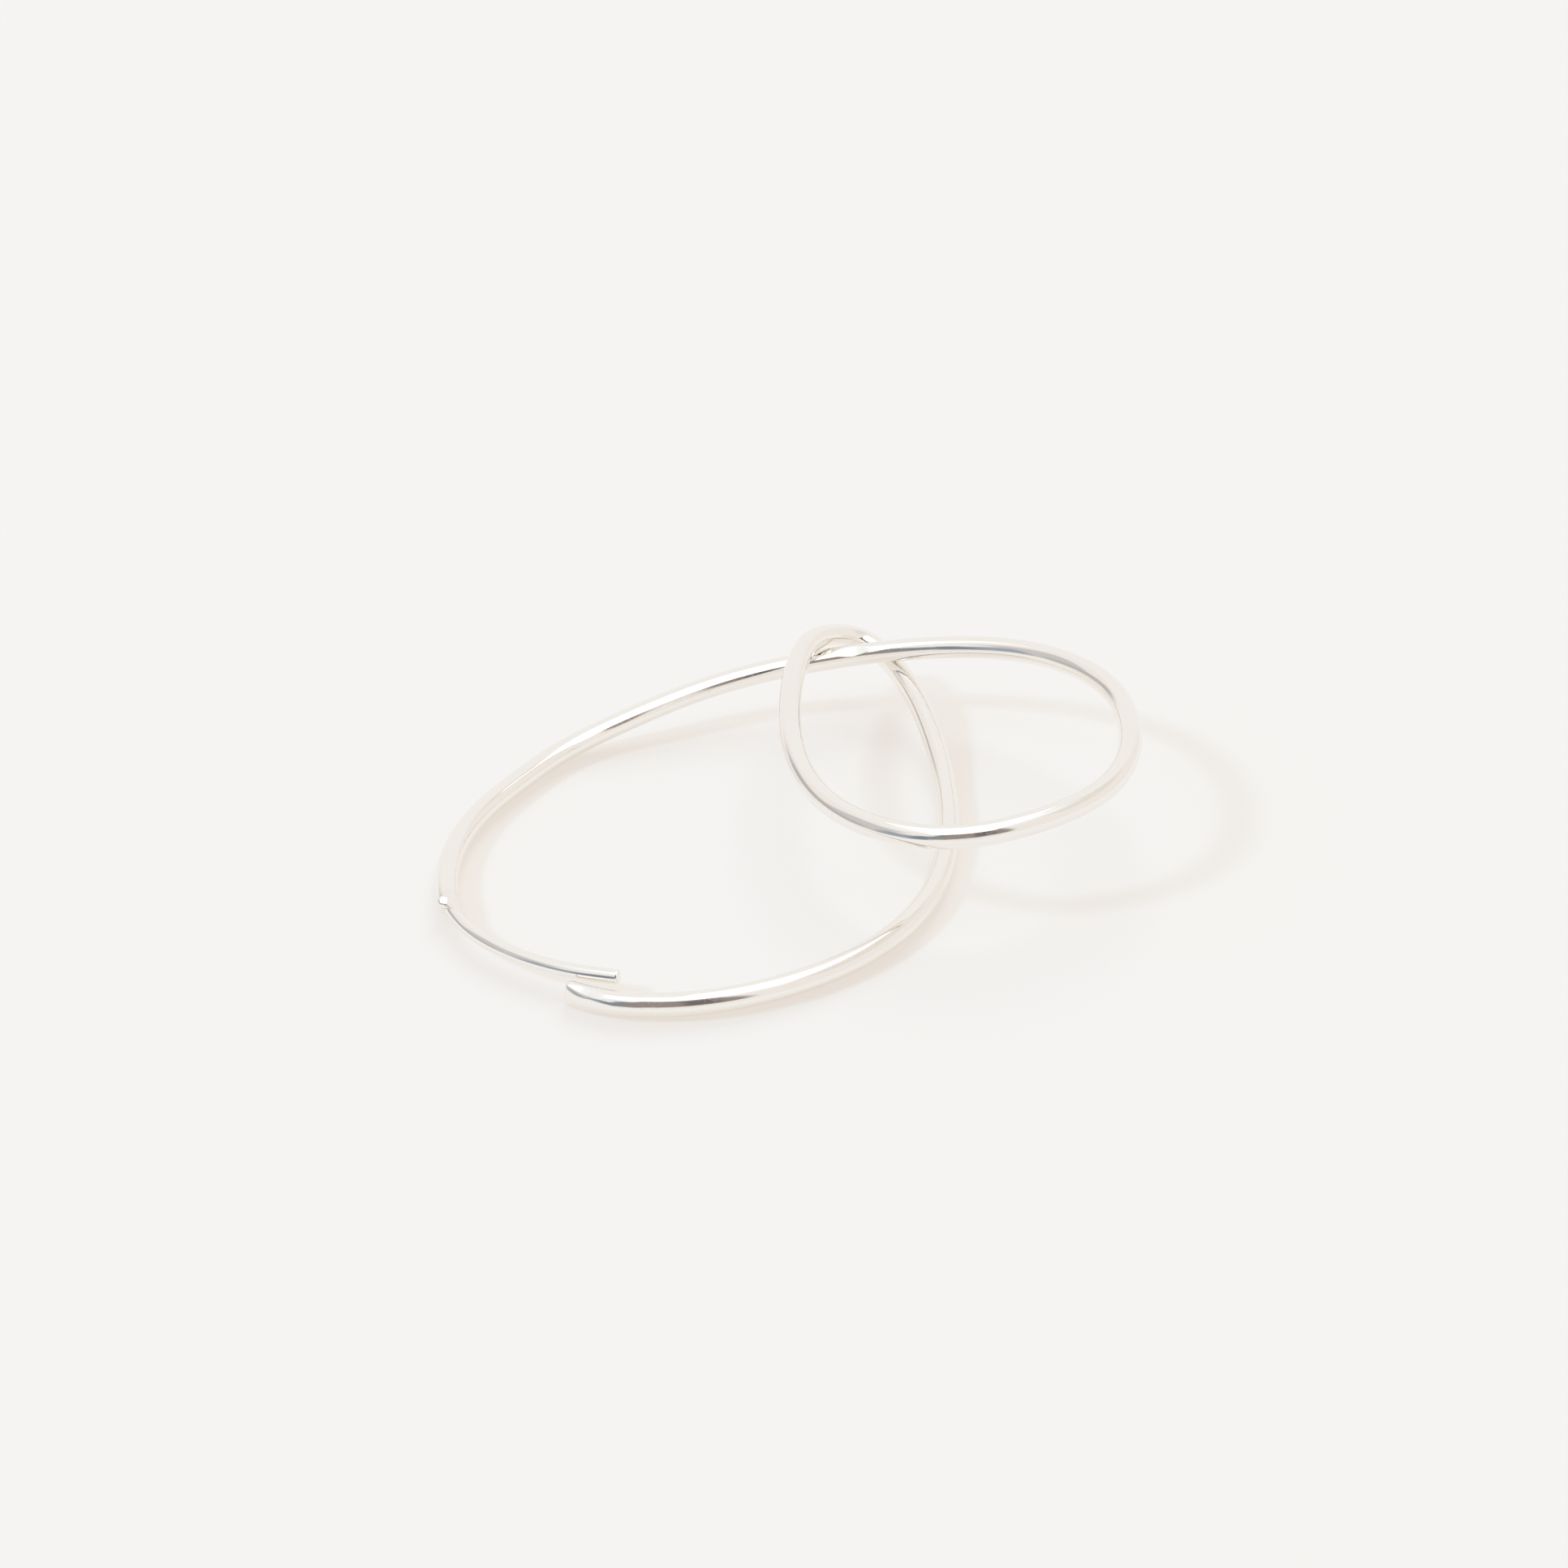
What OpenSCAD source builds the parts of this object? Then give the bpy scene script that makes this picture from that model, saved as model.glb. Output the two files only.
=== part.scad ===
// Looped wire hoop earring, lying flat as it does when it is taken off.
// One round silver wire makes an open hoop on the surface and a smaller raised curl beside it.
// The two strands wrap once round each other between the loops, at the twist.
// A thinner ear pin is soldered on the far end of the wire, and its tip lies beside the thick end.
// X runs to the right, Y runs away from the front and Z is up, in millimetres.

/* [Wire] */
// Diameter of the thick wire
wire_d = 1.3; // [1.2:0.05:1.35]
// Diameter of the ear pin
pin_d = 0.8; // [0.7:0.05:0.9]
// Rounding of the cut edge at the thick end
end_round = 0.16; // [0.05:0.01:0.3]
// Rounding of the ear pin's tip
tip_round = 0.2; // [0.1:0.01:0.3]

/* [Loops] */
// Radius of the big open hoop
hoop_r = 13; // [12.5:0.1:14]
// Radius of the small raised curl
curl_r = 9.8; // [9.5:0.1:10.5]
// How far the curl's centre lies to the right of the hoop's centre
curl_right = 13; // [12.5:0.1:13.5]
// How far the curl's centre lies behind the hoop's centre
curl_behind = 4; // [3.8:0.1:4.3]

/* [Solder] */
// How far the bead of solder stands proud of the thick wire
bead_rise = 0.04; // [0:0.01:0.08]
// Length of the bead along the thick wire
bead_length = 0.9; // [0.5:0.05:1.5]
// Length over which the round shoulder drops to the ear pin
shoulder_length = 0.5; // [0.3:0.05:0.7]
// Height of the solder fillet left round the root of the ear pin
fillet_rise = 0.08; // [0:0.01:0.12]
// Length of that fillet along the ear pin
fillet_length = 0.7; // [0.4:0.05:1]

/* [Hidden] */

// Sides of the wire's section, and rings along each stretch
SIDES = 24;
WIRE_RINGS = 190;
PIN_RINGS = 22;
BEAD_RINGS = 5;
SHOULDER_RINGS = 6;
FILLET_RINGS = 3;
ROUNDING_RINGS = 3;

wire_r = wire_d / 2;
pin_r = pin_d / 2;
hoop_centre = [0, 0];
curl_centre = [curl_right, curl_behind];

// Columns of the tables below. BEARING is in degrees round the centre of the loop, and
// counts on past a full turn. BEYOND is how far the control point sits outside the radius
// of that loop. LIFT is the clear height under the wire.
BEARING = 0;
BEYOND = 1;
LIFT = 2;

// Hoop, from the cut thick end round the front and up the right side
HOOP_FRONT = [
    [-121, 1.7, 0],
    [-112, 1.6, 0],
    [-97, 0.8, 0],
    [-80, 0, 0],
    [-60, -0.4, 0],
    [-40, -0.4, 0],
    [-20, -0.4, 0],
    [0, -0.3, 0],
    [14, 0.2, 0],
    [26, 1.1, 0],
    [38, 2.3, 0.8],
    [50, 4.0, 1.6],
    [62, 5.5, 2.5]
];

// Curl, from the crest of the twist down its left side and once round
CURL = [
    [119, 3.5, 3.3],
    [131, 2.8, 4.3],
    [150, 0.7, 4.1],
    [175, -0.5, 3.8],
    [205, -0.5, 3.7],
    [235, 0, 4.0],
    [265, 0.3, 4.5],
    [295, -0.1, 4.9],
    [325, 0.6, 5.1],
    [355, 0.2, 5.2],
    [385, 0.2, 5.1],
    [415, -0.4, 4.7],
    [445, -0.3, 3.9],
    [475, 1.3, 3.0]
];

// Hoop again, from the twist along the far side and down to the solder joint
HOOP_FAR = [
    [80, 0.7, 2.1],
    [98, -0.8, 1.6],
    [116, -1.4, 1.0],
    [130, -0.9, 0.3],
    [142, -0.5, 0],
    [154, -0.3, 0],
    [170, 0.9, 0],
    [186, 2.0, 0]
];

// Ear pin, from its root in the solder to its tip beside the thick end
EAR_PIN = [
    [200, 2.5, 0.1],
    [206, 2.5, 0.2],
    [214, 2.3, 0.3],
    [224, 1.6, 0.3],
    [236, 0.8, 0.4],
    [248, 0, 0.5]
];

function control_points(rows, centre, radius) = [
    for (row = rows)
        let (reach = radius + row[BEYOND])
        [
            centre.x + reach * cos(row[BEARING]),
            centre.y + reach * sin(row[BEARING]),
            wire_r + row[LIFT]
        ]
];

ROUTE = concat(
    control_points(HOOP_FRONT, hoop_centre, hoop_r),
    control_points(CURL, curl_centre, curl_r),
    control_points(HOOP_FAR, hoop_centre, hoop_r),
    control_points(EAR_PIN, hoop_centre, hoop_r)
);
last = len(ROUTE) - 1;

// The middle of the wire is a smooth cubic B-spline. Place t runs from 0 at the thick end
// to last at the pin's tip, one for each control point.
function neighbour(i) =
    i < 0 ? 2 * ROUTE[0] - ROUTE[1]
    : i > last ? 2 * ROUTE[last] - ROUTE[last - 1]
    : ROUTE[i];

function span_of(t) = min(floor(t), last - 1);

function middle(t) =
    let (i = span_of(t), u = t - i, v = 1 - u)
    (pow(v, 3) * neighbour(i - 1)
    + (3 * pow(u, 3) - 6 * pow(u, 2) + 4) * neighbour(i)
    + (3 * pow(v, 3) - 6 * pow(v, 2) + 4) * neighbour(i + 1)
    + pow(u, 3) * neighbour(i + 2)) / 6;

// Rate at which the middle moves with t, in mm
function rate(t) =
    let (i = span_of(t), u = t - i, v = 1 - u)
    (-pow(v, 2) * neighbour(i - 1)
    + (3 * pow(u, 2) - 4 * u) * neighbour(i)
    - (3 * pow(v, 2) - 4 * v) * neighbour(i + 1)
    + pow(u, 2) * neighbour(i + 2)) / 2;

function heading(t) = rate(t) / norm(rate(t));

// The solder joint comes just past the pin's first control point
pin_root = len(ROUTE) - len(EAR_PIN);
joint_t = pin_root + 0.3;
joint_rate = norm(rate(joint_t));

// Radius at a distance along the wire from the joint, in mm, negative on the thick wire
function joint_radius(along) =
    along <= -bead_length ? wire_r
    : along <= 0 ? wire_r + bead_rise * sin(180 * (along + bead_length) / bead_length)
    : along < shoulder_length
        ? pin_r + fillet_rise
            + (wire_r - pin_r - fillet_rise) * sqrt(1 - pow(along / shoulder_length, 2))
    : along < shoulder_length + fillet_length
        ? pin_r + fillet_rise * pow(1 - (along - shoulder_length) / fillet_length, 2)
    : pin_r;

// Distances from the joint at which rings are set: along the bead, down the shoulder,
// where they bunch towards the steep end, and along the fillet
joint_places = concat(
    [for (k = [1 : BEAD_RINGS]) bead_length * (k / BEAD_RINGS - 1)],
    [for (k = [1 : SHOULDER_RINGS]) shoulder_length * sin(90 * k / SHOULDER_RINGS)],
    [for (k = [1 : FILLET_RINGS]) shoulder_length + fillet_length * k / FILLET_RINGS]
);

// Columns of a ring: the point at its middle, the way the wire heads there, its radius
AT = 0;
TOWARDS = 1;
RADIUS = 2;

bead_start_t = joint_t - bead_length / joint_rate;
fillet_end_t = joint_t + (shoulder_length + fillet_length) / joint_rate;

// Rings that round an end off, each a step further in from the face
function rounding(t, inward, radius, round) = [
    for (k = [0 : ROUNDING_RINGS])
        let (turn = 90 * k / ROUNDING_RINGS)
        [
            middle(t) + inward * heading(t) * round * (1 - cos(turn)),
            heading(t),
            radius - round * (1 - sin(turn))
        ]
];

// The first and last rings of the sweep come after the rounding of its two ends
function past(t, round) = round / norm(rate(t));

wire_start_t = 1.5 * past(0, end_round);
pin_end_t = last - 1.5 * past(last, tip_round);

thick_end = rounding(0, 1, wire_r, end_round);
pin_tip = rounding(last, -1, pin_r, tip_round);

thick_wire = [
    for (k = [0 : WIRE_RINGS])
        let (t = wire_start_t + (bead_start_t - wire_start_t) * k / WIRE_RINGS)
        [middle(t), heading(t), wire_r]
];

solder = [
    for (along = joint_places)
        let (t = joint_t + along / joint_rate)
        [middle(t), heading(t), joint_radius(along)]
];

ear_pin = [
    for (k = [1 : PIN_RINGS])
        let (t = fillet_end_t + (pin_end_t - fillet_end_t) * k / PIN_RINGS)
        [middle(t), heading(t), pin_r]
];

rings = concat(
    thick_end,
    thick_wire,
    solder,
    ear_pin,
    [for (k = [ROUNDING_RINGS : -1 : 0]) pin_tip[k]]
);

// One ring of points, with its first point level with the middle and a quarter turn below
function ring_points(ring) =
    let (
        side = cross(ring[TOWARDS], [0, 0, 1]),
        across = side / norm(side),
        up = cross(across, ring[TOWARDS])
    )
    [
        for (k = [0 : SIDES - 1])
            let (a = 360 * k / SIDES)
            ring[AT] + ring[RADIUS] * (cos(a) * across + sin(a) * up)
    ];

module sweep(rings) {
    count = len(rings);
    points = [for (ring = rings) each ring_points(ring)];
    walls = [
        for (j = [0 : count - 2], k = [0 : SIDES - 1])
            let (next = (k + 1) % SIDES)
            [j * SIDES + k, j * SIDES + next, (j + 1) * SIDES + next, (j + 1) * SIDES + k]
    ];
    first_face = [for (k = [SIDES - 1 : -1 : 0]) k];
    last_face = [for (k = [0 : SIDES - 1]) (count - 1) * SIDES + k];
    polyhedron(points, concat([first_face], walls, [last_face]), convexity = 12);
}

// The origin is under the middle of the earring's own box
xs = [for (ring = rings) ring[AT].x];
ys = [for (ring = rings) ring[AT].y];
box_middle = [(min(xs) + max(xs)) / 2, (min(ys) + max(ys)) / 2, 0];

module earring_wire() {
    color("gainsboro")
        translate(-box_middle)
            sweep(rings);
}

earring_wire();
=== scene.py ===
# A looped hoop earring of polished silver wire, lying on a pale table under soft studio light.
import math

import bpy
import numpy as np
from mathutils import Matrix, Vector


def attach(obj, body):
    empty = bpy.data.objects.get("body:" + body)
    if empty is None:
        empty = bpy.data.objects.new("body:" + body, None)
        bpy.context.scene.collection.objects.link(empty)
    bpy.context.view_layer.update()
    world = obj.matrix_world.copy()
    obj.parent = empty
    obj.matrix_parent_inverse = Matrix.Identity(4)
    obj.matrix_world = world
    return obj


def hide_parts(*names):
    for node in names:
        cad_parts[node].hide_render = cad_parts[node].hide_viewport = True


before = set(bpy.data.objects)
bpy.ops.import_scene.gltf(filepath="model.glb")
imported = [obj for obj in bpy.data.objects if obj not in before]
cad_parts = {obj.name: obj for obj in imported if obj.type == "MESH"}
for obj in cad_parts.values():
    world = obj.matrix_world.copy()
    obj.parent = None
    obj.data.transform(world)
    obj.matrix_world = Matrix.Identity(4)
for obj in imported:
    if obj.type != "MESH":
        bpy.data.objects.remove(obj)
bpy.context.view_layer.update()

# The table and its light. The earring lies on a matt white sheet inside a white tent. A broad
# light hangs over it, and the tent is open towards the viewer, where a dark gap shows between
# grey and blue-grey walls. The polished wire has no tone of its own: it mirrors all of this.
MM = 0.001
PALE = (0.905, 0.897, 0.884)

# The view looks down from in front, about 14 cm away, at this angle to the table in degrees
LOOKS_DOWN = 37.0
camera_data = bpy.data.cameras.new("viewer")
camera_data.sensor_width = 36.0
camera_data.lens = 56.0
camera_data.clip_start = 0.005
camera_data.clip_end = 20.0
camera = bpy.data.objects.new("viewer", camera_data)
camera.location = (-0.41 * MM, -107.02 * MM, 84.25 * MM)
camera.rotation_euler = (math.radians(90.0 - LOOKS_DOWN), 0.0, 0.0)
bpy.context.collection.objects.link(camera)
bpy.context.scene.camera = camera
bpy.context.scene.view_settings.view_transform = "Standard"

world = bpy.data.worlds.new("white_tent")
world.use_nodes = True
bpy.context.scene.world = world
tent = world.node_tree
tent.nodes.clear()


def tent_math(operation, first, second=None):
    """The output of a Math node of the tent's shader."""
    node = tent.nodes.new("ShaderNodeMath")
    node.operation = operation
    for socket, value in zip(node.inputs, (first, second)):
        if hasattr(value, "is_output"):
            tent.links.new(value, socket)
        elif value is not None:
            socket.default_value = value
    return node.outputs[0]


def tent_step(value, start, end):
    """Rises smoothly from 0 to 1 as value goes from start to end."""
    node = tent.nodes.new("ShaderNodeMapRange")
    node.interpolation_type = "SMOOTHSTEP"
    tent.links.new(value, node.inputs["Value"])
    node.inputs["From Min"].default_value = start
    node.inputs["From Max"].default_value = end
    return node.outputs["Result"]


way = tent.nodes.new("ShaderNodeTexCoord")
split_way = tent.nodes.new("ShaderNodeSeparateXYZ")
tent.links.new(way.outputs["Generated"], split_way.inputs[0])
# BEARING is counted from the viewer's side, positive to the right, and HEIGHT above the table
nearer = tent_math("MULTIPLY", split_way.outputs["Y"], -1.0)
bearing_of_way = tent_math("DEGREES", tent_math("ARCTAN2", split_way.outputs["X"], nearer))
height_of_way = tent_math("DEGREES", tent_math("ARCSINE", split_way.outputs["Z"]))

# Tone of the tent's cloth by height, brightest overhead where the light hangs
cloth = tent.nodes.new("ShaderNodeValToRGB")
CLOTH_TONES = (
    (0, (0.885, 0.852, 0.815)),
    (44, (0.88, 0.85, 0.82)),
    (60, (0.90, 0.89, 0.87)),
    (66, (0.93, 0.94, 0.95)),
    (71, (1.00, 1.03, 1.06)),
    (77, (1.50, 1.50, 1.48)),
    (90, (1.80, 1.80, 1.78)),
)
tent.links.new(tent_math("DIVIDE", height_of_way, 90.0), cloth.inputs[0])
while len(cloth.color_ramp.elements) < len(CLOTH_TONES):
    cloth.color_ramp.elements.new(0.5)
for element, (height, tone) in zip(cloth.color_ramp.elements, CLOTH_TONES):
    element.position = height / 90.0
    element.color = (*tone, 1.0)

# Columns of a card that hangs in the tent or shows through its opening: the bearings of its
# left and right edges, the heights of its lower and upper edges, how soft its edges are, all
# in degrees, and its tone
CARDS = (
    ((138, 400), (-30, 58), 8, (0.911, 0.896, 0.885)),
    ((-400, -140), (-30, 58), 8, (0.911, 0.896, 0.885)),
    ((62, 138), (42, 62), 6, (0.80, 0.765, 0.72)),
    ((-132, -92), (-6, 22), 6, (0.62, 0.61, 0.60)),
    ((-102, -52), (-6, 50), 6, (0.60, 0.59, 0.58)),
    ((-127, -66), (-6, 20), 5, (0.50, 0.49, 0.48)),
    ((-58, -30), (2, 32), 5, (0.34, 0.39, 0.46)),
    ((-36, -22), (6, 38), 4, (0.23, 0.26, 0.31)),
    ((-26, -8), (13, 58), 4, (0.22, 0.26, 0.31)),
    ((-18, 31), (18, 70), 3, (0.31, 0.27, 0.25)),
    ((8, 22), (24, 60), 3, (0.17, 0.155, 0.15)),
)
tone_so_far = cloth.outputs["Color"]
for (left, right), (low, high), soft, tone in CARDS:
    past_left = tent_step(bearing_of_way, left - soft, left + soft)
    before_right = tent_step(bearing_of_way, right + soft, right - soft)
    over_low = tent_step(height_of_way, low - soft, low + soft)
    under_high = tent_step(height_of_way, high + soft, high - soft)
    across = tent_math("MULTIPLY", past_left, before_right)
    upright = tent_math("MULTIPLY", over_low, under_high)
    card = tent.nodes.new("ShaderNodeMix")
    card.data_type = "RGBA"
    tent.links.new(tent_math("MULTIPLY", across, upright), card.inputs["Factor"])
    tent.links.new(tone_so_far, card.inputs["A"])
    card.inputs["B"].default_value = (*tone, 1.0)
    tone_so_far = card.outputs["Result"]

# Seen straight on, past the table's edge, the tent is plain and pale
seen = tent.nodes.new("ShaderNodeLightPath")
plain = tent.nodes.new("ShaderNodeMix")
plain.data_type = "RGBA"
tent.links.new(seen.outputs["Is Camera Ray"], plain.inputs["Factor"])
tent.links.new(tone_so_far, plain.inputs["A"])
plain.inputs["B"].default_value = (*PALE, 1.0)
glow = tent.nodes.new("ShaderNodeBackground")
glow.inputs["Strength"].default_value = 1.0
tent.links.new(plain.outputs["Result"], glow.inputs["Color"])
tent_out = tent.nodes.new("ShaderNodeOutputWorld")
tent.links.new(glow.outputs[0], tent_out.inputs["Surface"])

# A lit white panel hangs low over the earring, and only the polish mirrors it
PANEL_CORNERS = ((-6.0, -27.0), (20.0, -27.0), (20.0, 21.0), (-6.0, 21.0))
PANEL_HEIGHT = 42.0
panel_mesh = bpy.data.meshes.new("low_white_panel")
panel_points = [(x * MM, y * MM, PANEL_HEIGHT * MM) for x, y in PANEL_CORNERS]
panel_mesh.from_pydata(panel_points, [], [(0, 1, 2, 3)])
panel = bpy.data.objects.new("low_white_panel", panel_mesh)
bpy.context.collection.objects.link(panel)
panel.visible_camera = False
panel.visible_diffuse = False
panel.visible_shadow = False
panel.visible_transmission = False
lit_cloth = bpy.data.materials.new("lit_cloth")
lit_cloth.use_nodes = True
lit_cloth.node_tree.nodes.clear()
cloth_glow = lit_cloth.node_tree.nodes.new("ShaderNodeEmission")
cloth_glow.inputs["Color"].default_value = (1.0, 1.0, 0.99, 1.0)
cloth_glow.inputs["Strength"].default_value = 1.3
cloth_out = lit_cloth.node_tree.nodes.new("ShaderNodeOutputMaterial")
lit_cloth.node_tree.links.new(cloth_glow.outputs[0], cloth_out.inputs["Surface"])
panel_mesh.materials.append(lit_cloth)

# Three lamps outside the tent throw the faint shadows: a cool one from the left, the soft
# glow round it, and a broad one from behind. Each has the way from the earring to the lamp,
# its breadth in degrees, its tone and its strength.
LAMPS = (
    ("lamp_left", (-1.155, -0.12, 1.0), 8.0, (0.70, 0.885, 1.0), 3.15),
    ("lamp_left_glow", (-1.3, 0.1, 1.0), 45.0, (0.265, 0.67, 1.0), 1.84),
    ("lamp_behind", (0.25, 1.15, 1.0), 35.0, (0.947, 1.0, 0.943), 3.36),
)
for name, towards, breadth, tone, strength in LAMPS:
    lamp_data = bpy.data.lights.new(name, "SUN")
    lamp_data.angle = math.radians(breadth)
    lamp_data.color = tone
    lamp_data.energy = strength
    lamp = bpy.data.objects.new(name, lamp_data)
    lamp.rotation_mode = "QUATERNION"
    lamp.rotation_quaternion = Vector(towards).to_track_quat("Z", "Y")
    lamp.visible_glossy = False
    bpy.context.collection.objects.link(lamp)

# The matt sheet on the table, 1.5 m all round. It glows of itself, which keeps shadows faint
TABLE_RADIUS = 1.5
bpy.ops.mesh.primitive_circle_add(vertices=96, radius=TABLE_RADIUS, fill_type="TRIFAN")
table = bpy.context.object
table.name = "table_top"
sheet = bpy.data.materials.new("matt_white_sheet")
sheet.use_nodes = True
sheet_shader = sheet.node_tree.nodes["Principled BSDF"]
sheet_shader.inputs["Base Color"].default_value = (0.085, 0.10, 0.115, 1.0)
sheet_shader.inputs["Roughness"].default_value = 0.75
sheet_shader.inputs["Specular IOR Level"].default_value = 0.0
sheet_shader.inputs["Emission Color"].default_value = (0.742, 0.672, 0.604, 1.0)
sheet_shader.inputs["Emission Strength"].default_value = 1.0
table.data.materials.append(sheet)

# Thick wire. One length of round silver wire, 1.3 mm thick, is bent by hand into the open
# hoop and the smaller curl, with its two strands wrapped once round each other. Its first end
# is cut flush and its edge eased with a file. It is polished all over.
WIRE_RADIUS = 0.65
END_ROUND = 0.16
HOOP_RADIUS = 13.0
CURL_RADIUS = 9.8
HOOP_CENTRE = (0.0, 0.0)
CURL_CENTRE = (13.0, 4.0)

# Columns of the tables: bearing in degrees round the centre of the loop, how far the control
# point sits outside the loop's radius, and the clear height under the wire, in mm
HOOP_FRONT = (
    (-121, 1.7, 0),
    (-112, 1.6, 0),
    (-97, 0.8, 0),
    (-80, 0, 0),
    (-60, -0.4, 0),
    (-40, -0.4, 0),
    (-20, -0.4, 0),
    (0, -0.3, 0),
    (14, 0.2, 0),
    (26, 1.1, 0),
    (38, 2.3, 0.8),
    (50, 4.0, 1.6),
    (62, 5.5, 2.5),
)
CURL = (
    (119, 3.5, 3.3),
    (131, 2.8, 4.3),
    (150, 0.7, 4.1),
    (175, -0.5, 3.8),
    (205, -0.5, 3.7),
    (235, 0, 4.0),
    (265, 0.3, 4.5),
    (295, -0.1, 4.9),
    (325, 0.6, 5.1),
    (355, 0.2, 5.2),
    (385, 0.2, 5.1),
    (415, -0.4, 4.7),
    (445, -0.3, 3.9),
    (475, 1.3, 3.0),
)
HOOP_FAR = (
    (80, 0.7, 2.1),
    (98, -0.8, 1.6),
    (116, -1.4, 1.0),
    (130, -0.9, 0.3),
    (142, -0.5, 0),
    (154, -0.3, 0),
    (170, 0.9, 0),
    (186, 2.0, 0),
)
EAR_PIN = (
    (200, 2.5, 0.1),
    (206, 2.5, 0.2),
    (214, 2.3, 0.3),
    (224, 1.6, 0.3),
    (236, 0.8, 0.4),
    (248, 0, 0.5),
)


def control_points(rows, centre, radius):
    """The control points of one stretch of the wire's middle line, in mm."""
    points = []
    for bearing, beyond, lift in rows:
        turn = math.radians(bearing)
        reach = radius + beyond
        x = centre[0] + reach * math.cos(turn)
        y = centre[1] + reach * math.sin(turn)
        points.append((x, y, WIRE_RADIUS + lift))
    return points


route = np.array(
    control_points(HOOP_FRONT, HOOP_CENTRE, HOOP_RADIUS)
    + control_points(CURL, CURL_CENTRE, CURL_RADIUS)
    + control_points(HOOP_FAR, HOOP_CENTRE, HOOP_RADIUS)
    + control_points(EAR_PIN, HOOP_CENTRE, HOOP_RADIUS)
)
LAST = len(route) - 1
PIN_ROOT = len(route) - len(EAR_PIN)
JOINT_PAST_ROOT = 0.3
# The B-spline's end points are reflected, so that it starts and ends at the wire's ends
padded = np.vstack([2 * route[0] - route[1], route, 2 * route[-1] - route[-2]])


def middle_line(places):
    """Points of the middle line at places from 0, the cut end, to LAST, the pin's tip, in mm."""
    places = np.clip(places, 0, LAST)
    span = np.minimum(places.astype(int), LAST - 1)
    u = (places - span)[:, None]
    v = 1 - u
    near = (3 * u**3 - 6 * u**2 + 4) * padded[span + 1]
    far = (3 * v**3 - 6 * v**2 + 4) * padded[span + 2]
    return (v**3 * padded[span] + near + far + u**3 * padded[span + 3]) / 6


# Length along the wire at each of many places, so that rings are set by distance
MANY = 20001
dense_places = np.linspace(0, LAST, MANY)
dense_points = middle_line(dense_places)
dense_steps = np.linalg.norm(np.diff(dense_points, axis=0), axis=1)
dense_lengths = np.concatenate([[0.0], np.cumsum(dense_steps)])
WIRE_LENGTH = dense_lengths[-1]
JOINT_AT = float(np.interp(PIN_ROOT + JOINT_PAST_ROOT, dense_places, dense_lengths))

# The earring's own box is centred over the origin, as in the solid
box_middle = (dense_points.min(axis=0) + dense_points.max(axis=0)) / 2
box_middle[2] = 0.0


def set_along(lengths):
    """Middle points, headings and level and upright sides at lengths along the wire, in mm."""
    points = []
    for axis in range(3):
        points.append(np.interp(lengths, dense_lengths, dense_points[:, axis]))
    points = np.stack(points, axis=1)
    step = 0.02
    ahead = np.interp(np.minimum(lengths + step, WIRE_LENGTH), dense_lengths, dense_places)
    behind = np.interp(np.maximum(lengths - step, 0), dense_lengths, dense_places)
    heading = middle_line(ahead) - middle_line(behind)
    heading /= np.linalg.norm(heading, axis=1)[:, None]
    level = np.cross(heading, (0.0, 0.0, 1.0))
    level /= np.linalg.norm(level, axis=1)[:, None]
    return points - box_middle, heading, level, np.cross(level, heading)


def lay_tube(name, lengths, radii):
    """A closed tube along the wire. radii has one row for each length, one column a side."""
    rings, sides = radii.shape
    points, heading, level, upright = set_along(lengths)
    turns = 2 * np.pi * np.arange(sides) / sides
    across = np.cos(turns)[None, :, None] * level[:, None]
    ways = across + np.sin(turns)[None, :, None] * upright[:, None]
    corners = (points[:, None] + radii[:, :, None] * ways).reshape(-1, 3)
    corners = np.vstack([corners, points[0], points[-1]]) * MM
    start_hub = rings * sides
    end_hub = start_hub + 1
    faces = []
    marks = []
    for ring in range(rings - 1):
        here = lengths[ring]
        there = lengths[ring + 1]
        for side in range(sides):
            after = (side + 1) % sides
            first = ring * sides
            second = first + sides
            faces.append((first + side, first + after, second + after, second + side))
            left = side / sides
            right = (side + 1) / sides
            marks += [(here, left), (here, right), (there, right), (there, left)]
    for side in range(sides):
        after = (side + 1) % sides
        faces.append((start_hub, after, side))
        end_first = (rings - 1) * sides
        faces.append((end_hub, end_first + side, end_first + after))
        left = side / sides
        right = (side + 1) / sides
        marks += [(lengths[0], left), (lengths[0], right), (lengths[0], left)]
        marks += [(lengths[-1], left), (lengths[-1], left), (lengths[-1], right)]
    mesh = bpy.data.meshes.new(name)
    mesh.from_pydata(corners.tolist(), [], faces)
    lay = mesh.uv_layers.new(name="along_and_round")
    lay.data.foreach_set("uv", np.array(marks, dtype=np.float32).ravel())
    mesh.shade_smooth()
    mesh.validate()
    piece = bpy.data.objects.new(name, mesh)
    bpy.context.collection.objects.link(piece)
    return piece


# Rings of the rounded edge of a cut end, as distance in from the face and loss of radius. Two
# more rings carry the flat of the face: one just inside the edge and one near the middle.
EASE = np.linspace(0, 90, 9)
ease_in = END_ROUND * (1 - np.cos(np.radians(EASE)))
ease_loss = END_ROUND * (1 - np.sin(np.radians(EASE)))
INSIDE_EDGE = 0.01
FACE_MIDDLE = 0.15

# The surface lies a hair inside 0.65 mm, so that it stays within the flats of the solid
WIRE_SIDES = 96
WIRE_STEP = 0.18
SURFACE_RADIUS = 0.6415

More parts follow.
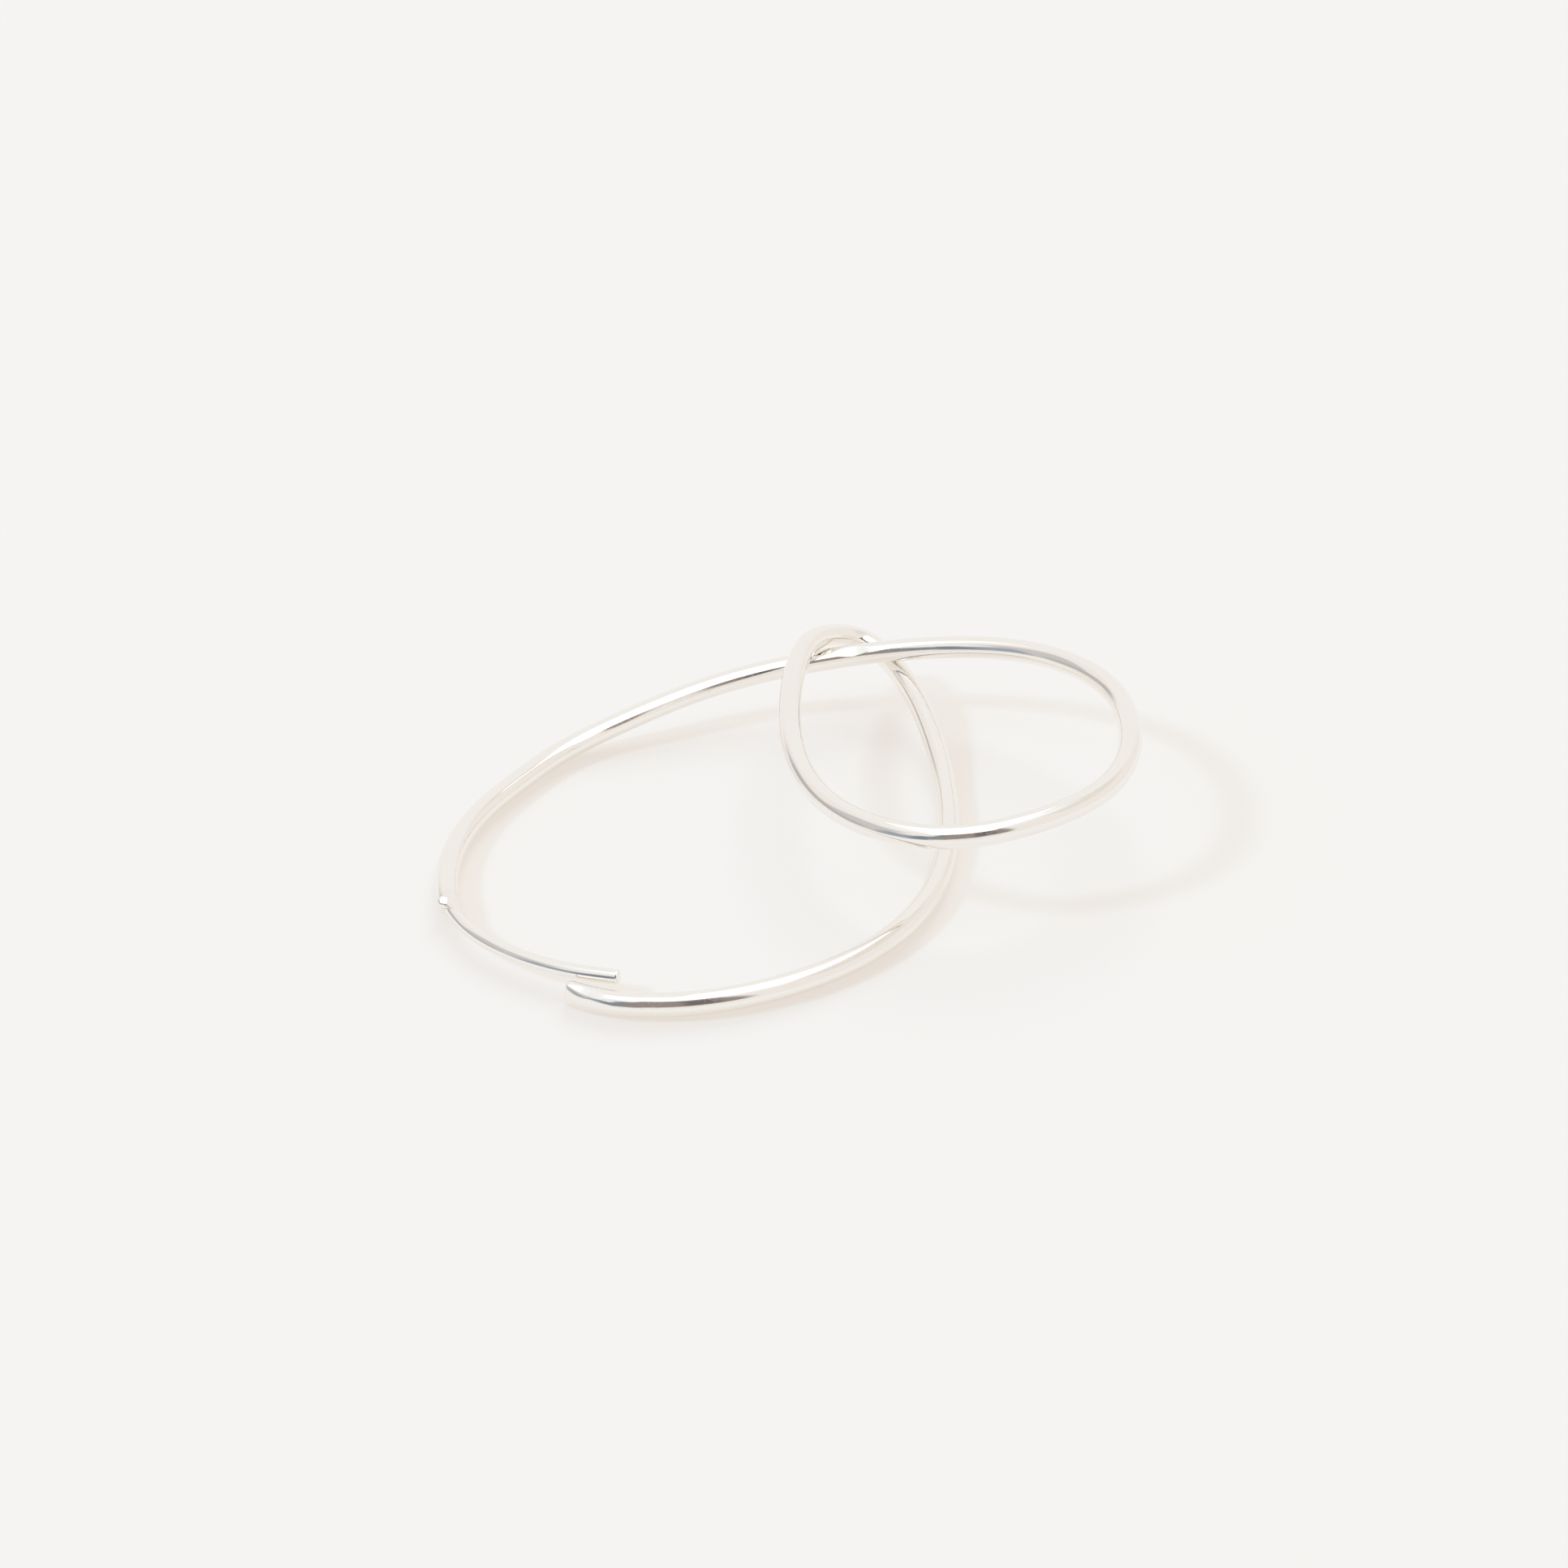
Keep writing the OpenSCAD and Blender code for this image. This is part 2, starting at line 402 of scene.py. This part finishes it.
# Beside the cut, the front of the wire is filed to a slant that runs out along the wire, and
# the pliers flattened its top. The slant is deepest at the cut, the flat a little way in, and
# the flat ends before the slant does. The polish has softened the ridge where the two meet.
# Both follow the eased edge of the cut by EDGE_SHARE of its loss, and stop at LEAST_RADIUS.
SLANT_TURN = math.radians(12.0)
SLANT_DEPTH = 0.31
SLANT_LENGTH = 2.8
TOP_TURN = math.radians(68.0)
TOP_DEPTH = 0.08
TOP_DEEPEST = 1.0
TOP_REACH = 1.5
RIDGE_SOFTNESS = 0.24
EDGE_SHARE = 0.6
LEAST_RADIUS = 0.05
END_STEP = 0.08

# Where the far strand comes out of the twist, the pliers pressed two small flats, one on its
# upper front and one on its top. Each has its middle from PRESSED_PLACE on the route, its
# length, the turn that it faces and its depth. Rings are closer together there, from
# PRESSED_BACK before that place to PRESSED_ON past it.
PRESSED_PLACE = 26.11
PRESSED = (
    (0.0, 2.6, math.radians(122.0), 0.075),
    (1.75, 2.4, math.radians(84.0), 0.13),
)
PRESSED_STEP = 0.06
PRESSED_BACK = 1.5
PRESSED_ON = 3.0
pressed_at = float(np.interp(PRESSED_PLACE, dense_places, dense_lengths))
plain_lengths = np.concatenate(
    [
        np.arange(END_ROUND + END_STEP, SLANT_LENGTH, END_STEP),
        np.arange(SLANT_LENGTH, pressed_at - PRESSED_BACK, WIRE_STEP),
        np.arange(pressed_at - PRESSED_BACK, pressed_at + PRESSED_ON, PRESSED_STEP),
        np.arange(pressed_at + PRESSED_ON, JOINT_AT, WIRE_STEP),
    ]
)
wire_lengths = np.concatenate([[0.0, 0.0], ease_in, plain_lengths])
ring_radii = np.concatenate(
    [
        [FACE_MIDDLE, SURFACE_RADIUS - END_ROUND - INSIDE_EDGE],
        SURFACE_RADIUS - ease_loss,
        np.full(len(plain_lengths), SURFACE_RADIUS),
    ]
)
wire_radii = np.repeat(ring_radii[:, None], WIRE_SIDES, axis=1)
side_turns = 2 * np.pi * np.arange(WIRE_SIDES) / WIRE_SIDES
# Sides that face away from a flat are held to LEAST_FACING, so it reaches none of them
LEAST_FACING = 0.3


def fade(part):
    """Rises smoothly from 0 to 1 as part goes from 0 to 1."""
    return math.sin(math.pi / 2 * part) ** 2


def reach_of_flat(distance, turn):
    """How far out each side reaches a flat that faces turn, at a distance from the middle."""
    return distance / np.maximum(np.cos(side_turns - turn), LEAST_FACING)


for ring, length in enumerate(wire_lengths):
    if length < SLANT_LENGTH:
        eased_by = EDGE_SHARE * max(SURFACE_RADIUS - ring_radii[ring], 0.0)
        top_in = max(1 - abs(length - TOP_DEEPEST) / TOP_REACH, 0.0)
        top_reach = reach_of_flat(SURFACE_RADIUS - eased_by - TOP_DEPTH * fade(top_in), TOP_TURN)
        slant_in = 1 - length / SLANT_LENGTH
        slant_depth = eased_by + SLANT_DEPTH * slant_in**2
        slant_reach = reach_of_flat(SURFACE_RADIUS - slant_depth, SLANT_TURN)
        upper = np.minimum(wire_radii[ring], top_reach)
        softness = RIDGE_SOFTNESS * min(2 * slant_in, 1.0) + 0.001
        blend = np.maximum(softness - np.abs(upper - slant_reach), 0.0) / softness
        worked = np.minimum(upper, slant_reach) - blend**2 * softness / 4
        wire_radii[ring] = np.maximum(worked, LEAST_RADIUS)
    for middle, pressed_length, pressed_turn, depth in PRESSED:
        # The flat is deepest at its middle and fades out smoothly both ways
        from_end = 1 - abs(length - pressed_at - middle) / (pressed_length / 2)
        if from_end > 0:
            pressed_reach = reach_of_flat(SURFACE_RADIUS - depth * fade(from_end), pressed_turn)
            wire_radii[ring] = np.minimum(wire_radii[ring], pressed_reach)
hoop_wire = lay_tube("hoop_wire", wire_lengths, wire_radii)

# Polish and wear of silver, used on all three pieces. Fine lines run along the wire from the
# drawing plate and the buff, stray hairlines come from handling, and a breath of tarnish
# warms some stretches.
wear = bpy.data.node_groups.new("silver_polish_and_wear", "ShaderNodeTree")
for label, kind, where in (
    ("Wire Marks", "NodeSocketFloat", "INPUT"),
    ("Hairlines", "NodeSocketFloat", "INPUT"),
    ("Tarnish", "NodeSocketFloat", "INPUT"),
    ("Gloss Roughness", "NodeSocketFloat", "INPUT"),
    ("Clean Silver", "NodeSocketColor", "INPUT"),
    ("Tarnished Silver", "NodeSocketColor", "INPUT"),
    ("Colour", "NodeSocketColor", "OUTPUT"),
    ("Roughness", "NodeSocketFloat", "OUTPUT"),
    ("Height", "NodeSocketFloat", "OUTPUT"),
):
    wear.interface.new_socket(name=label, in_out=where, socket_type=kind)
wear_in = wear.nodes.new("NodeGroupInput")
wear_out = wear.nodes.new("NodeGroupOutput")


def wear_math(operation, first, second=None):
    """The output of a Math node of the wear group."""
    node = wear.nodes.new("ShaderNodeMath")
    node.operation = operation
    for socket, value in zip(node.inputs, (first, second)):
        if hasattr(value, "is_output"):
            wear.links.new(value, socket)
        elif value is not None:
            socket.default_value = value
    return node.outputs[0]


def wear_noise(vector, scale, detail):
    """A noise texture of the wear group, from 0 to 1 and mostly near 0.5."""
    node = wear.nodes.new("ShaderNodeTexNoise")
    node.inputs["Scale"].default_value = scale
    node.inputs["Detail"].default_value = detail
    wear.links.new(vector, node.inputs["Vector"])
    return node.outputs["Fac"]


def wear_stretch(vector, factors):
    """The vector multiplied by factors along its three axes."""
    node = wear.nodes.new("ShaderNodeVectorMath")
    node.operation = "MULTIPLY"
    wear.links.new(vector, node.inputs[0])
    node.inputs[1].default_value = factors
    return node.outputs[0]


place = wear.nodes.new("ShaderNodeTexCoord")
in_mm = wear_stretch(place.outputs["Object"], (1000, 1000, 1000))
on_wire = wear.nodes.new("ShaderNodeUVMap")
on_wire.uv_map = "along_and_round"

# Lines along the wire: about 8 mm long and a sixtieth of a turn wide, with finer ones in them
DRAWN_STRETCH = (0.12, 60, 1)
drawn = wear_noise(wear_stretch(on_wire.outputs["UV"], DRAWN_STRETCH), 1.0, 3.0)
drawn = wear_math("SUBTRACT", drawn, 0.5)
drawn_height = wear_math("MULTIPLY", drawn, wear_in.outputs["Wire Marks"])

# Slow waviness that the bending leaves, a few mm long and this many thousandths of a mm high
WAVE_HEIGHT = 6.0
wave = wear_noise(in_mm, 0.45, 1.0)
wave_height = wear_math("MULTIPLY", wear_math("SUBTRACT", wave, 0.5), WAVE_HEIGHT)

# Hairlines where two noises cross their middle value, kept to patches
HAIRLINE_STRETCHES = ((2.6, 0.9, 1.6), (0.8, 2.2, 1.9))
HAIRLINE_HALF_WIDTH = 0.003
HAIRLINE_DEPTH = 0.6
HAIRLINE_ROUGHNESS = 0.15
hair = None
for tilt, factors in enumerate(HAIRLINE_STRETCHES):
    line = wear_noise(wear_stretch(in_mm, factors), 1.0 + 0.3 * tilt, 1.0)
    nearness = wear_math("ABSOLUTE", wear_math("SUBTRACT", line, 0.5))
    thin = wear_math("LESS_THAN", nearness, HAIRLINE_HALF_WIDTH)
    hair = thin if hair is None else wear_math("MAXIMUM", hair, thin)
patch = wear_noise(in_mm, 0.8, 2.0)
patchy = wear_math("GREATER_THAN", patch, 0.5)
hair = wear_math("MULTIPLY", hair, patchy)
hairlines = wear_math("MULTIPLY", hair, wear_in.outputs["Hairlines"])

height = wear_math("ADD", drawn_height, wave_height)
height = wear_math("SUBTRACT", height, wear_math("MULTIPLY", hairlines, HAIRLINE_DEPTH))
wear.links.new(height, wear_out.inputs["Height"])

# Tarnish lies in soft patches a few mm long
film = wear_math("MULTIPLY", wear_noise(in_mm, 0.3, 3.0), wear_in.outputs["Tarnish"])
tint = wear.nodes.new("ShaderNodeMix")
tint.data_type = "RGBA"
wear.links.new(film, tint.inputs["Factor"])
wear.links.new(wear_in.outputs["Clean Silver"], tint.inputs["A"])
wear.links.new(wear_in.outputs["Tarnished Silver"], tint.inputs["B"])
wear.links.new(tint.outputs["Result"], wear_out.inputs["Colour"])

# Smears of the buff and of fingers change the gloss a little
SMEAR_STRETCH = (1.4, 0.9, 1.2)
smear = wear_noise(wear_stretch(in_mm, SMEAR_STRETCH), 1.0, 4.0)
rough = wear_math("MULTIPLY", wear_math("ADD", smear, 0.5), wear_in.outputs["Gloss Roughness"])
rough = wear_math("ADD", rough, wear_math("MULTIPLY", hairlines, HAIRLINE_ROUGHNESS))
wear.links.new(rough, wear_out.inputs["Roughness"])


def silver_material(name, marks, scratches, tarnish, roughness, clean, tarnished):
    """Solid polished silver with its own amounts of wear."""
    material = bpy.data.materials.new(name)
    material.use_nodes = True
    tree = material.node_tree
    shader = tree.nodes["Principled BSDF"]
    shader.inputs["Metallic"].default_value = 1.0
    polish = tree.nodes.new("ShaderNodeGroup")
    polish.node_tree = wear
    polish.inputs["Wire Marks"].default_value = marks
    polish.inputs["Hairlines"].default_value = scratches
    polish.inputs["Tarnish"].default_value = tarnish
    polish.inputs["Gloss Roughness"].default_value = roughness
    polish.inputs["Clean Silver"].default_value = (*clean, 1.0)
    polish.inputs["Tarnished Silver"].default_value = (*tarnished, 1.0)
    bump = tree.nodes.new("ShaderNodeBump")
    bump.inputs["Strength"].default_value = 1.0
    bump.inputs["Distance"].default_value = 0.001 * MM
    tree.links.new(polish.outputs["Height"], bump.inputs["Height"])
    tree.links.new(polish.outputs["Colour"], shader.inputs["Base Color"])
    tree.links.new(polish.outputs["Roughness"], shader.inputs["Roughness"])
    tree.links.new(bump.outputs["Normal"], shader.inputs["Normal"])
    return material


hoop_wire.data.materials.append(
    silver_material(
        "polished_wire",
        marks=0.5,
        scratches=1.0,
        tarnish=0.3,
        roughness=0.06,
        clean=(0.96, 0.935, 0.90),
        tarnished=(0.93, 0.89, 0.835),
    )
)
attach(hoop_wire, "root")
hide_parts("earring_wire")

# Ear pin. A thinner round wire, 0.8 mm thick, that goes through the ear. It is soldered by
# its root to the far end of the thick wire, and its tip is rounded with a cup burr.
PIN_RADIUS = 0.4
TIP_ROUND = 0.2
TIP_MIDDLE = 0.08
PIN_SIDES = 40
PIN_STEP = 0.12
tip_in = TIP_ROUND * (1 - np.cos(np.radians(EASE)))
tip_loss = TIP_ROUND * (1 - np.sin(np.radians(EASE)))
shaft_lengths = np.arange(JOINT_AT, WIRE_LENGTH - TIP_ROUND - PIN_STEP, PIN_STEP)
pin_lengths = np.concatenate(
    [shaft_lengths, (WIRE_LENGTH - tip_in)[::-1], [WIRE_LENGTH, WIRE_LENGTH]]
)
pin_radii = np.concatenate(
    [
        np.full(len(shaft_lengths), PIN_RADIUS),
        (PIN_RADIUS - tip_loss)[::-1],
        [PIN_RADIUS - TIP_ROUND - INSIDE_EDGE, TIP_MIDDLE],
    ]
)
ear_pin = lay_tube("ear_pin", pin_lengths, np.repeat(pin_radii[:, None], PIN_SIDES, axis=1))
ear_pin.data.materials.append(
    silver_material(
        "polished_pin",
        marks=0.4,
        scratches=1.0,
        tarnish=0.2,
        roughness=0.06,
        clean=(0.96, 0.937, 0.905),
        tarnished=(0.92, 0.885, 0.83),
    )
)
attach(ear_pin, "root")

# Solder joint. Hard silver solder, run round the butt of the two wires with a torch. It
# covers the thick wire's end, which is steep on the outer side of the hoop and eased into the
# pin on the inner side. On the outer side it froze in a small lump, filed flat on top.
RUNS_BACK = 0.9
STEEP_SHOULDER = 0.5
EASED_SHOULDER = 2.2
EASED_WITHIN = 0.4
# Its edge starts a hair sunk in the thick wire and rises to a hair proud of it at the joint.
# Past the shoulders it sinks into the pin.
SUNK = 0.006
PROUD = 0.004
PIN_SUNK = 0.02
SOLDER_SIDES = 96
# The lump's middle, as outwards, up and ahead of the joint, its radius, the way that its filed
# flat faces in the same terms, and how far the flat lies from the wire's middle
LUMP_MIDDLE = (0.348, 0.334, 0.31)
LUMP_RADIUS = 0.34
LUMP_FACING = (-0.05, 0.894, 0.438)
LUMP_FLAT = 0.667
# Rings of the solder by distance from the joint: wider apart behind it, close together round it
WIDE_RINGS = np.linspace(-1.15, -0.52, 12)
CLOSE_RINGS = np.arange(-0.5, 2.5, 0.03)
solder_from_joint = np.concatenate([WIDE_RINGS, CLOSE_RINGS])
solder_turns = 2 * np.pi * np.arange(SOLDER_SIDES) / SOLDER_SIDES


def lump_radius(along, turn):
    """How far out the lump of solder reaches, or 0 where a ray from the middle line misses it."""
    outwards, up, ahead = LUMP_MIDDLE
    towards = outwards * math.cos(turn) + up * math.sin(turn)
    clear = outwards**2 + up**2 - towards**2 + (along - ahead) ** 2
    if clear >= LUMP_RADIUS**2:
        return 0.0
    ball = towards + math.sqrt(LUMP_RADIUS**2 - clear)
    facing = LUMP_FACING[0] * math.cos(turn) + LUMP_FACING[1] * math.sin(turn)
    if facing <= 0:
        return ball
    return min(ball, (LUMP_FLAT - LUMP_FACING[2] * along) / facing)


def solder_radius(along, turn):
    """Radius of the solder at a distance from the joint and a turn round the wire, in mm."""
    if along <= 0:
        # The edge of the solder creeps unevenly along the thick wire
        creep = 0.12 * math.sin(turn + 0.7) + 0.07 * math.sin(2 * turn + 2.1)
        start = -RUNS_BACK + creep
        run = max((along - start) / -start, 0.0)
        plain = SURFACE_RADIUS - SUNK + (SUNK + PROUD) * run**2 * (3 - 2 * run)
        return max(plain, lump_radius(along, turn))
    # Turn 0 is the outer side of the hoop and half a turn is its inner side
    eased = math.sin(turn / 2) ** 2
    shoulder = STEEP_SHOULDER + (EASED_SHOULDER - STEEP_SHOULDER) * eased
    run = along / shoulder
    if run >= 1:
        return max(PIN_RADIUS - PIN_SUNK * min(run - 1, 1.0), lump_radius(along, turn))
    steep_fall = 1 - math.sqrt(1 - run**2)
    fall = steep_fall + (fade(run) - steep_fall) * min(eased / EASED_WITHIN, 1.0)
    plain = PROUD + SURFACE_RADIUS + (PIN_RADIUS - SURFACE_RADIUS) * fall
    return max(plain, lump_radius(along, turn))


solder_radii = np.array(
    [[solder_radius(along, turn) for turn in solder_turns] for along in solder_from_joint]
)
solder_joint = lay_tube("solder_joint", JOINT_AT + solder_from_joint, solder_radii)
solder_joint.data.materials.append(
    silver_material(
        "run_solder",
        marks=0.05,
        scratches=0.6,
        tarnish=0.5,
        roughness=0.10,
        clean=(0.95, 0.925, 0.89),
        tarnished=(0.88, 0.83, 0.76),
    )
)
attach(solder_joint, "root")
